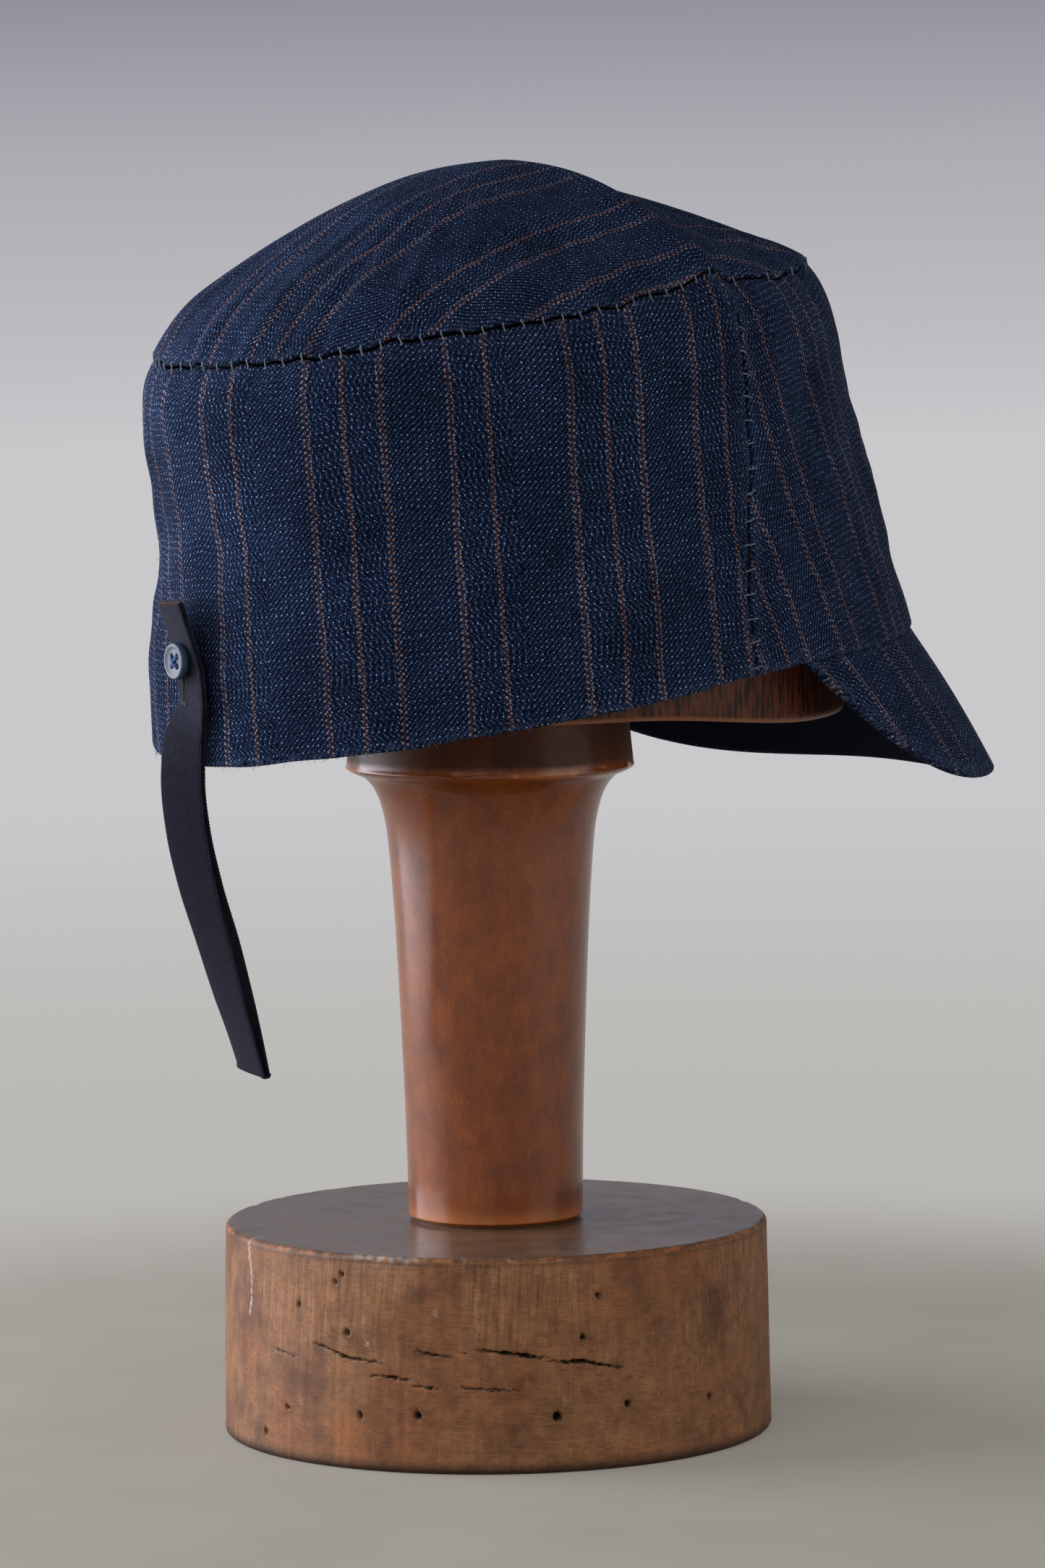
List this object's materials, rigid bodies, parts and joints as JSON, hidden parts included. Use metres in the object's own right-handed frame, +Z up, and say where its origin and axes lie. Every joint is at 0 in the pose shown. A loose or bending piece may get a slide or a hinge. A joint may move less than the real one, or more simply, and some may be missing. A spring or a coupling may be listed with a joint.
{
  "type": "field cap on a wooden hat stand",
  "caption": "Soft field cap of striped denim with a short padded peak and a buttoned tape loop at the back, resting on a turned wooden hat stand.",
  "frame": {"origin": "centre of the stand's round underside, where it rests on a table", "axes": "+Z up the stand's column, -Y towards the cap's peak (front), -X to the wearer's right"},
  "size_m": [0.1668, 0.2493, 0.3308],
  "materials": {
    "striped_denim": "navy twill with thin copper and pale pinstripes, matt",
    "twill_tape": "near-black navy cotton tape with a fine woven grid",
    "button": "grey-blue, polished",
    "thread": "blue cotton thread",
    "base_wood": "old worn varnish, cracked, with worm holes",
    "varnished_wood": "turned, satin varnish",
    "block_wood": "dark stained, open grain"
  },
  "bodies": {
    "root": {"crown_tip": "striped_denim", "rear_panel": "striped_denim", "front_panel": "striped_denim", "peak": "striped_denim", "tab": "twill_tape", "button": "button", "button_thread": "thread", "stand_base": "base_wood", "stand_column": "varnished_wood", "stand_block": "block_wood"}
  },
  "joints": []
}
